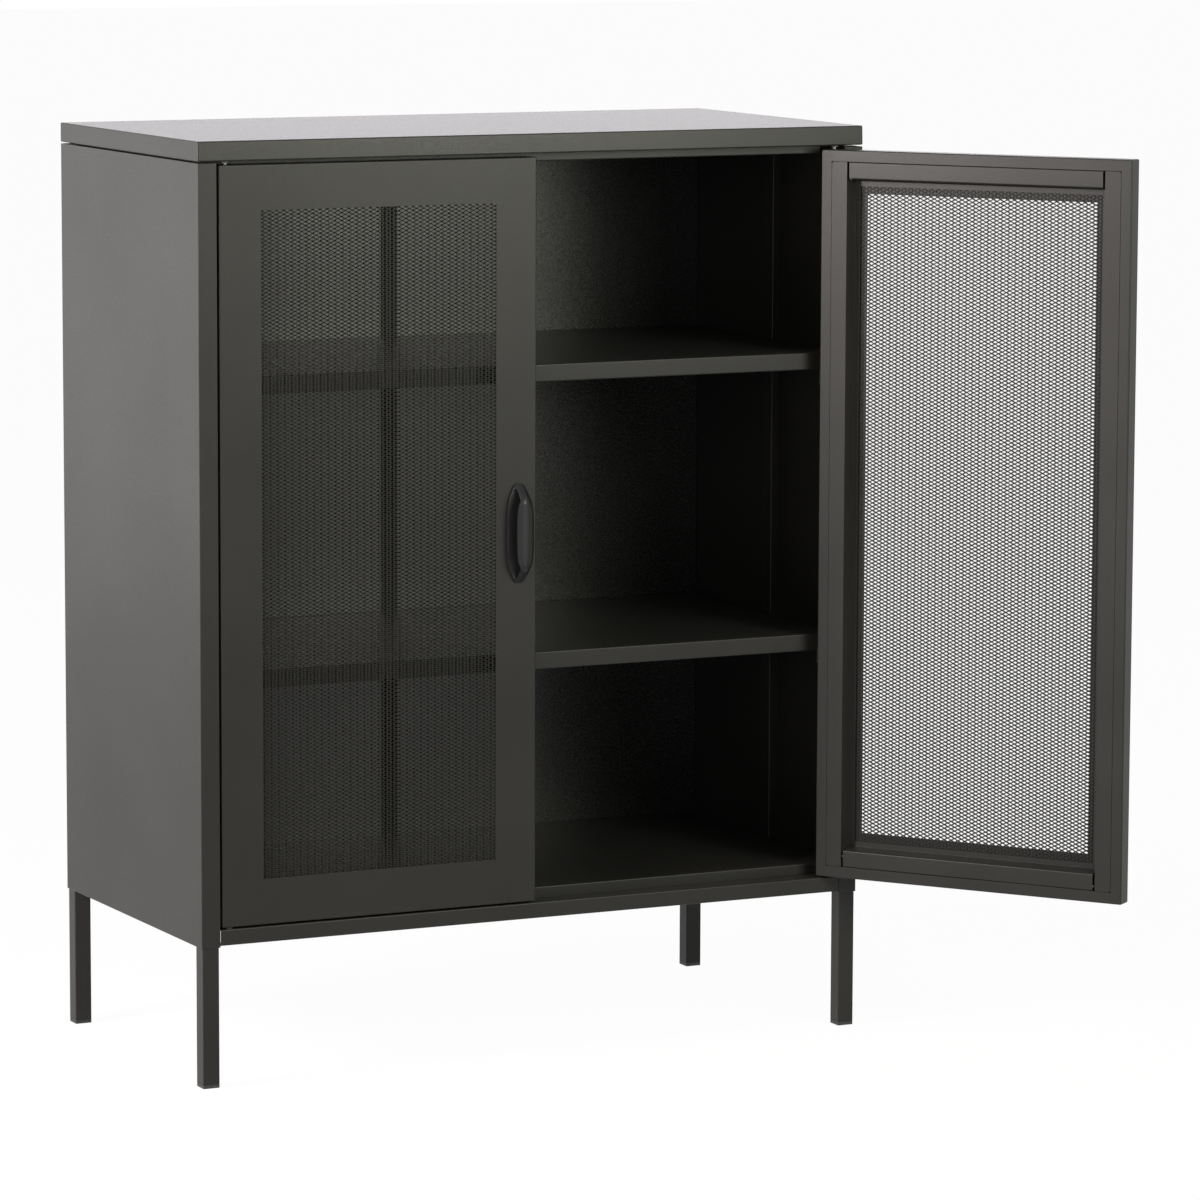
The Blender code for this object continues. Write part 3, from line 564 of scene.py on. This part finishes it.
def door_pan():
    """The pan: hollowed from the back under its return, then opened at the window."""
    outer_lo = Vector((DOOR_IN, DOOR_FRONT, DOOR_LOW))
    outer_hi = Vector((DOOR_OUT, DOOR_BACK, DOOR_HIGH))
    pan = block(outer_lo, outer_hi)

    def rect(left, right, bottom, top, y):
        return (Vector((DOOR_IN + left, y, DOOR_LOW + bottom)),
                Vector((DOOR_OUT - right, y, DOOR_HIGH - top)))

    mouth = (DOOR_FLANGE,) * 4
    cave = (SHEET,) * 4
    window = (WINDOW_SIDE, WINDOW_SIDE, WINDOW_BOTTOM, WINDOW_TOP)
    face = facing(pan, (0, 1, 0))
    for margins, y in ((mouth, DOOR_BACK), (mouth, DOOR_BACK - SHEET),
                       (cave, DOOR_BACK - SHEET), (cave, DOOR_FRONT + SHEET),
                       (window, DOOR_FRONT + SHEET)):
        face = stretch(pan, face, *rect(*margins, y))
    front = stretch(pan, facing(pan, (0, -1, 0)), *rect(*window, DOOR_FRONT))
    rims = list(face.edges) + list(front.edges)
    bmesh.ops.delete(pan, geom=[face, front], context="FACES_ONLY")
    bmesh.ops.bridge_loops(pan, edges=rims)
    bmesh.ops.recalc_face_normals(pan, faces=pan.faces)
    round_folds(pan, PAN_FOLD)
    return pan


for tag in ("left", "right"):
    door_piece("door_folded_pan", door_pan(), coat, tag, ["door_pan"])


# ---------------------------------------------------- the inner door frames
# Four hat channels are welded inside each pan: two full-height stiles with two rails
# between them.  Their inner webs lean, and their feet clamp the mesh to the face.
HAT_FACE = 0.0200
HAT_FOOT = 0.0075
HAT_LEAN = 0.0030
HAT_FOLD = 0.0012
MESH_FACE = 0.0023
FRAME_JOINT = 0.0012
END_CORNER = 0.0030
BEAD_SINK, BEAD_SQUASH = 0.35, 0.55
# weld marks on the frame: distance from the outer edge of the door, height, radius
WELD_SPOTS = ((0.0365, 0.963, 0.0020), (0.3478, 0.631, 0.0015), (0.3580, 0.5786, 0.0014),
              (0.0170, 0.6027, 0.0014), (0.0340, 0.2000, 0.0016), (0.3390, 0.1930, 0.0016))


def hat_section(outer, inner, foot, depth):
    """Outline of a hat channel as (offset, y) points from its outer web to its foot."""
    way = math.copysign(1, inner - outer)
    back, low_face = DOOR_BACK, DOOR_FRONT + depth
    lean = way * HAT_LEAN
    wall = way * SHEET
    return [
        (outer, DOOR_FRONT + SHEET + GAP), (outer, back), (inner - lean / 2, back),
        (inner + lean / 2, low_face + SHEET), (foot, low_face + SHEET), (foot, low_face),
        (inner + lean / 2 - wall, low_face), (inner - lean / 2 - wall, back - SHEET),
        (outer + wall, back - SHEET), (outer + wall, DOOR_FRONT + SHEET + GAP),
    ]


def as_tool(bm):
    """An object for the cutter to work with; it never stays in the scene."""
    mesh = bpy.data.meshes.new("tool")
    bm.to_mesh(mesh)
    bm.free()
    tool = bpy.data.objects.new("tool", mesh)
    bpy.context.scene.collection.objects.link(tool)
    return tool


def carve(bm, tools):
    """Cut closed shapes out of a mesh and give back the result."""
    body = as_tool(bm)
    tools = [as_tool(t) for t in tools]
    for tool in tools:
        cutter = body.modifiers.new("cut", "BOOLEAN")
        cutter.operation = "DIFFERENCE"
        cutter.solver = "EXACT"
        cutter.object = tool
    bpy.context.view_layer.update()
    done = bmesh.new()
    done.from_mesh(body.evaluated_get(bpy.context.evaluated_depsgraph_get()).data)
    for spent in [body] + tools:
        bpy.data.objects.remove(spent, do_unlink=True)
    return done


def corner_tool(x, z, across, along):
    """What is cut from the corner of a stile so that its end is rounded in the face."""
    lo = Vector((min(x, x + across * END_CORNER), DOOR_FRONT, min(z, z + along * END_CORNER)))
    hi = Vector((max(x, x + across * END_CORNER), DOOR_BACK, max(z, z + along * END_CORNER)))
    tool = block(lo - Vector((0.0002, 0, 0.0002)), hi + Vector((0.0002, SHEET, 0.0002)))
    drum = bmesh.new()
    turn = Matrix.Rotation(math.pi / 2, 4, "X")
    centre = (x + across * END_CORNER, DOOR_FRONT, z + along * END_CORNER)
    bmesh.ops.create_cone(drum, segments=32, radius1=END_CORNER, radius2=END_CORNER,
                          depth=0.1, cap_ends=True, matrix=Matrix.Translation(centre) @ turn)
    return carve(tool, [drum])


def weld_bead(x, z, radius):
    """A blob of weld that bridges a joint in the faces of the frame."""
    bead = bmesh.new()
    bmesh.ops.create_icosphere(bead, subdivisions=3, radius=radius,
                               matrix=Matrix.Translation((x, DOOR_BACK - radius * BEAD_SINK, z))
                               @ Matrix.Diagonal((1.0, BEAD_SQUASH, 1.0, 1.0)))
    return bead


hinge_x = DOOR_OUT - DOOR_FLANGE - GAP
free_x = DOOR_IN + DOOR_FLANGE + GAP
stile_low = DOOR_LOW + DOOR_FLANGE + GAP
stile_high = DOOR_HIGH - DOOR_FLANGE - GAP
foot_reach = HAT_FACE + HAT_FOOT
rail_start = free_x + HAT_FACE + FRAME_JOINT
rail_stop = hinge_x - HAT_FACE - FRAME_JOINT
over_foot = DOOR_FRONT + MESH_FACE + SHEET + GAP
for tag in ("left", "right"):
    for name, outer, way in (("hinge", hinge_x, -1), ("free", free_x, 1)):
        points = hat_section(outer, outer + way * HAT_FACE, outer + way * foot_reach, MESH_FACE)
        stile = carve(section_bar(points, (stile_low, stile_high), 2), [
            corner_tool(edge_x, end_z, side_way, end_way)
            for edge_x, side_way in ((outer, way), (outer + way * HAT_FACE, -way))
            for end_z, end_way in ((stile_low, 1), (stile_high, -1))])
        round_folds(stile, HAT_FOLD)
        door_piece(f"door_stile_{name}_hat", stile, coat, tag,
                   [f"door_stile_{name}"])
    for name, outer, way in (("bottom", stile_low, 1), ("top", stile_high, -1)):
        points = hat_section(outer, outer + way * HAT_FACE, outer + way * foot_reach, MESH_FACE)
        bar = section_bar([(y, z) for z, y in points], (rail_start, rail_stop), 0)
        rail = carve(bar, [
            block((rail_start - SHEET, DOOR_FRONT, stile_low - SHEET),
                  (free_x + foot_reach + GAP, over_foot, stile_high + SHEET)),
            block((hinge_x - foot_reach - GAP, DOOR_FRONT, stile_low - SHEET),
                  (rail_stop + SHEET, over_foot, stile_high + SHEET))])
        round_folds(rail, HAT_FOLD)
        door_piece(f"door_rail_{name}_hat", rail, coat, tag,
                   [f"door_rail_{name}"])


for tag in ("left", "right"):
    beads = [weld_bead(DOOR_OUT - u, z, radius) for u, z, radius in WELD_SPOTS]
    for bead in beads[1:]:
        spare = bpy.data.meshes.new("bead")
        bead.to_mesh(spare)
        bead.free()
        beads[0].from_mesh(spare)
        bpy.data.meshes.remove(spare)
    door_piece("door_weld_beads", beads[0], coat, tag, [])


# --------------------------------------------------- expanded metal panels
# Each window is filled with flattened and coated expanded steel: rows of strands that
# zigzag and meet their neighbours, long diamonds lying level, clamped under the frame.
DIAMOND_LONG = 0.0084
DIAMOND_SHORT = 0.00425
STRAND_WIDTH = 0.00162
STRAND_DEPTH = 0.0009
STRAND_SLANT = 0.8
MESH_TUCK = 0.005


def expanded_metal():
    """The mesh of one door: a zigzag strand, its mirror image, and copies up the window."""
    x0 = free_x + foot_reach - MESH_TUCK
    x1 = hinge_x - foot_reach + MESH_TUCK
    z0 = stile_low + foot_reach - MESH_TUCK
    z1 = stile_high - foot_reach + MESH_TUCK
    y = DOOR_FRONT + SHEET + GAP
    rise = DIAMOND_SHORT / 4
    steps = int((x1 - x0) / (DIAMOND_LONG / 2))
    start = (x0 + x1 - steps * DIAMOND_LONG / 2) / 2
    bm = bmesh.new()
    half = STRAND_WIDTH / 2
    slant = half * STRAND_SLANT
    first = z0 - rise
    corners = [(start, y, first - half), (start, y + STRAND_DEPTH, first - slant),
               (start, y + STRAND_DEPTH, first + half), (start, y, first + slant)]
    face = bm.faces.new([bm.verts.new(c) for c in corners])
    edges = list(face.edges)
    for step in range(steps):
        climb = -2 * rise if step % 2 else 2 * rise
        edges = push_ring(bm, edges, (DIAMOND_LONG / 2, 0, climb))
    bmesh.ops.contextual_create(bm, geom=edges)
    bmesh.ops.recalc_face_normals(bm, faces=bm.faces)

    # the next strand is the same zigzag upside down, then the pair repeats up the window
    pair = bmesh.ops.duplicate(bm, geom=bm.verts[:] + bm.edges[:] + bm.faces[:])["geom"]
    flipped = [g for g in pair if isinstance(g, bmesh.types.BMVert)]
    bmesh.ops.scale(bm, verts=flipped, vec=(1, 1, -1),
                    space=Matrix.Translation((0, 0, -z0)))
    bmesh.ops.reverse_faces(bm, faces=[g for g in pair if isinstance(g, bmesh.types.BMFace)])
    bmesh.ops.translate(bm, verts=flipped, vec=(0, 0, DIAMOND_SHORT / 2))
    base = bm.verts[:] + bm.edges[:] + bm.faces[:]
    for row in range(1, int((z1 - z0) / DIAMOND_SHORT)):
        copy = bmesh.ops.duplicate(bm, geom=base)["geom"]
        bmesh.ops.translate(bm, verts=[g for g in copy if isinstance(g, bmesh.types.BMVert)],
                            vec=(0, 0, row * DIAMOND_SHORT))
    return bm


mesh_coat = powder_coat("mesh_powder_coat", CHARCOAL, CHARCOAL_PALE, 0.44, 0.13)
for tag in ("left", "right"):
    panel = expanded_metal()
    hang(panel, tag)
    finish(f"{tag}_door_expanded_mesh", panel, mesh_coat, tag + "_door",
           [f"{tag}_door_mesh"], flat_faces=False)


# -------------------------------------------------------------- door pins
# Turned steel pins in zinc plate whose tone is painted dark, as painted shade that keeps their
# reflection dim, one at each end of a door, with a collar inside the pan.
# painted shade: this zinc gets 0.10 to 0.16, where the bare zinc elsewhere gets 0.50 to 0.66
painted_shade_zinc = plated("painted_shade_zinc_plate", 0.10, 0.16)
for tag in ("left", "right"):
    for end in ("bottom", "top"):
        recoat(f"{tag}_door_pin_{end}", painted_shade_zinc)


# ------------------------------------------------------------ the handles
# Moulded scoop pulls in black plastic on the free stiles.  A hood rises from the free side
# to a lip, and its finger hollow opens towards the window.
HANDLE_FROM_EDGE = 0.0215
HANDLE_Z = 0.585
HOOD_BASE = 0.0145
HOOD_LIP = 0.0088
CREST_ROUND = 0.0012
ROUND_SHARE = 30
# each level: reach to the window, reach to the free edge, half length, corner taper, height
HOOD = (
    (HOOD_BASE, HOOD_BASE, 0.0545, (0.0088, 0.0220), GAP),
    (HOOD_BASE, HOOD_BASE, 0.0545, (0.0088, 0.0220), 0.0026),
    (HOOD_LIP + 0.0032, 0.0139, 0.0475, (0.0080, 0.0180), 0.0100),
    (HOOD_LIP + 0.0008, 0.0112, 0.0420, (0.0065, 0.0140), 0.0160),
    (HOOD_LIP, 0.0080, 0.0395, (0.0050, 0.0100), 0.0184),
    (0.0040, 0.0012, 0.0340, (0.0016, 0.0060), 0.0200),
)
FINGER_HOLLOW = (
    (0.0205, 0.0100, 0.0510, (0.0080, 0.0190), 0.0056, 0.0022),
    (0.0205, 0.0095, 0.0450, (0.0070, 0.0150), 0.0100),
    (0.0205, 0.0065, 0.0370, (0.0050, 0.0100), 0.0168),
)


def eight_sided(window_side, free_side, half, taper, height, window_height=None):
    """Corners of an outline with tapered ends, at a height off the face of the door."""
    centre = Vector((DOOR_IN + HANDLE_FROM_EDGE, DOOR_FRONT - height, HANDLE_Z))
    across, along = taper
    fall = (height - (window_height or height)) / (window_side + free_side)
    return [centre + Vector((x, fall * (x + free_side), z)) for x, z in (
        (window_side, half - along), (window_side - across, half),
        (across - free_side, half), (-free_side, half - along),
        (-free_side, along - half), (across - free_side, -half),
        (window_side - across, -half), (window_side, along - half))]


def scoop(levels, round_over=None):
    """Loft from level to level, with every upright corner rounded off."""
    bm = bmesh.new()
    face = bm.faces.new([bm.verts.new(corner) for corner in eight_sided(*levels[0])])
    for level in levels[1:]:
        grown = bmesh.ops.extrude_face_region(bm, geom=[face])["geom"]
        bm.faces.remove(face)
        face = next(g for g in grown if isinstance(g, bmesh.types.BMFace))
        for loop, corner in zip(face.loops, eight_sided(*level)):
            loop.vert.co = corner
    bmesh.ops.holes_fill(bm, edges=bm.edges, sides=8)
    bmesh.ops.recalc_face_normals(bm, faces=bm.faces)
    upright = [e for e in bm.edges
               if abs(e.verts[0].co.y - e.verts[1].co.y) > 0.0005]
    bmesh.ops.bevel(bm, geom=upright, offset=ROUND_SHARE, offset_type="PERCENT", segments=5,
                    profile=0.5, affect="EDGES", clamp_overlap=True, material=-1)
    if round_over:
        top = [e for e in bm.edges if all(v.co.y < DOOR_FRONT - levels[-1][4] + 1e-5
                                          for v in e.verts)]
        ease(bm, top, round_over, 3)
    return bm


handle_plastic = moulded("handle_plastic", (0.008, 0.008, 0.0085), 0.36, 0.26)
for tag in ("left", "right"):
    handle = carve(scoop(HOOD, CREST_ROUND), [scoop(FINGER_HOLLOW)])
    door_piece("door_cup_handle", handle, handle_plastic, tag,
               ["door_handle"])


# ------------------------------------------------------- handle screws
# Zinc-plated steel screws with pan heads, two to a handle.  They are driven from inside the
# free stile.
for tag in ("left", "right"):
    for end in ("lower", "upper"):
        recoat(f"{tag}_handle_screw_{end}", zinc)


# ------------------------------------------------------ floor and lights
# A plain pale studio: a white floor that keeps a soft shadow, a white surround, and soft
# lamps at the front right, at the left and low behind the cabinet.
def seen_rays(tree):
    """1 where a ray from the lens arrives directly, in a reflection or through glass."""
    rays = tree.nodes.new("ShaderNodeLightPath")
    total = rays.outputs["Is Camera Ray"]
    for kind in ("Is Glossy Ray", "Is Transmission Ray"):
        larger = tree.nodes.new("ShaderNodeMath")
        larger.operation = "MAXIMUM"
        tree.links.new(total, larger.inputs[0])
        tree.links.new(rays.outputs[kind], larger.inputs[1])
        total = larger.outputs[0]
    return total


def mixed(tree, share, plain, shown, output):
    """Join a plain and a shown surface by a share of the shown one."""
    mix = tree.nodes.new("ShaderNodeMixShader")
    tree.links.new(share, mix.inputs["Fac"])
    tree.links.new(plain.outputs[0], mix.inputs[1])
    tree.links.new(shown.outputs[0], mix.inputs[2])
    tree.links.new(mix.outputs[0], output.inputs["Surface"])


WHITE = (1, 1, 1, 1)
SHADOW_SHARE = 0.03
FLOOR_HALF, FLOOR_DROP = 30, 0.0002
studio_white = bpy.data.materials.new("studio_white")
studio_white.use_nodes = True
tree = studio_white.node_tree
tree.nodes.clear()
glow = tree.nodes.new("ShaderNodeEmission")
glow.inputs["Color"].default_value = WHITE
matt = tree.nodes.new("ShaderNodeBsdfDiffuse")
matt.inputs["Color"].default_value = (0.8, 0.8, 0.8, 1)
part = tree.nodes.new("ShaderNodeMath")
part.operation = "MULTIPLY"
part.inputs[1].default_value = 1 - SHADOW_SHARE
tree.links.new(seen_rays(tree), part.inputs[0])
mixed(tree, part.outputs[0], matt, glow, tree.nodes.new("ShaderNodeOutputMaterial"))

ground = bmesh.new()
bmesh.ops.create_grid(ground, x_segments=1, y_segments=1, size=FLOOR_HALF)
bmesh.ops.translate(ground, verts=ground.verts, vec=(0, 0, -FLOOR_DROP))
floor_mesh = bpy.data.meshes.new("studio_floor")
ground.to_mesh(floor_mesh)
ground.free()
studio_floor = bpy.data.objects.new("studio_floor", floor_mesh)
bpy.context.scene.collection.objects.link(studio_floor)
studio_floor.data.materials.append(studio_white)

LIT_LEVEL = 0.05
world = bpy.data.worlds.new("studio")
bpy.context.scene.world = world
world.use_nodes = True
tree = world.node_tree
tree.nodes.clear()
seen_sky = tree.nodes.new("ShaderNodeBackground")
seen_sky.inputs["Color"].default_value = WHITE
lit_sky = tree.nodes.new("ShaderNodeBackground")
lit_sky.inputs["Color"].default_value = WHITE
lit_sky.inputs["Strength"].default_value = LIT_LEVEL
mixed(tree, seen_rays(tree), lit_sky, seen_sky, tree.nodes.new("ShaderNodeOutputWorld"))


def lamp(name, azimuth, away, height, size, watts, aim_height=0.6, colour=(1, 1, 1)):
    """A square softbox, not seen by the lens, turned to the middle of the cabinet."""
    data = bpy.data.lights.new(name, "AREA")
    data.shape = "SQUARE"
    data.size = size
    data.energy = watts
    data.color = colour
    light = bpy.data.objects.new(name, data)
    bpy.context.scene.collection.objects.link(light)
    turn = math.radians(azimuth)
    light.location = (away * math.sin(turn), -away * math.cos(turn), height)
    way = light.location - Vector((0, 0, aim_height))
    light.rotation_euler = way.to_track_quat("Z", "Y").to_euler()
    light.visible_camera = False


KEY_TINT = (1.0, 1.0, 0.88)
LEFT_TINT = (1.0, 0.93, 0.91)
TOP_TINT = (1.0, 0.95, 1.0)
lamp("key_wide", 26, 3.0, 1.3, 1.0, 25, colour=KEY_TINT)
lamp("key_near", 17.5, 2.0, 1.28, 0.6, 14, colour=KEY_TINT)
lamp("key_high", 20, 2.5, 1.8, 0.8, 12, colour=KEY_TINT)
lamp("left_near", -81, 2.0, 1.3, 0.6, 74, colour=LEFT_TINT)
lamp("left_wide", -84, 3.0, 1.2, 1.0, 61, colour=LEFT_TINT)
lamp("front_left", -40, 3.0, 1.4, 0.8, 12, colour=LEFT_TINT)
lamp("behind_left", -150, 3.0, 0.9, 1.5, 7)
lamp("behind_right", 153.5, 4.0, 1.9, 2.0, 21, aim_height=1.0, colour=TOP_TINT)

scene = bpy.context.scene
scene.view_settings.view_transform = "Standard"


# -------------------------------------------------------------- the camera
# A long lens a little above the top of the cabinet and to the left of the doors, so that
# the left flank, the front and the open door are all seen.
LENS_MM = 177.03
CAMERA_AT = Vector((-2.7770, -5.9704, 1.3831))
YAW, PITCH, ROLL = 0.45906, 0.13552, 0.0036
camera_data = bpy.data.cameras.new("camera")
camera_data.lens = LENS_MM
camera_data.sensor_width = 36.0
camera_data.clip_end = 100.0
camera = bpy.data.objects.new("camera", camera_data)
scene.collection.objects.link(camera)
forward = Vector((math.sin(YAW) * math.cos(PITCH), math.cos(YAW) * math.cos(PITCH),
                  -math.sin(PITCH)))
level_right = Vector((math.cos(YAW), -math.sin(YAW), 0))
level_up = level_right.cross(forward)
right = level_right * math.cos(ROLL) + level_up * math.sin(ROLL)
up = level_up * math.cos(ROLL) - level_right * math.sin(ROLL)
axes = Matrix((right, up, -forward)).transposed().to_4x4()
camera.matrix_world = Matrix.Translation(CAMERA_AT) @ axes
scene.camera = camera
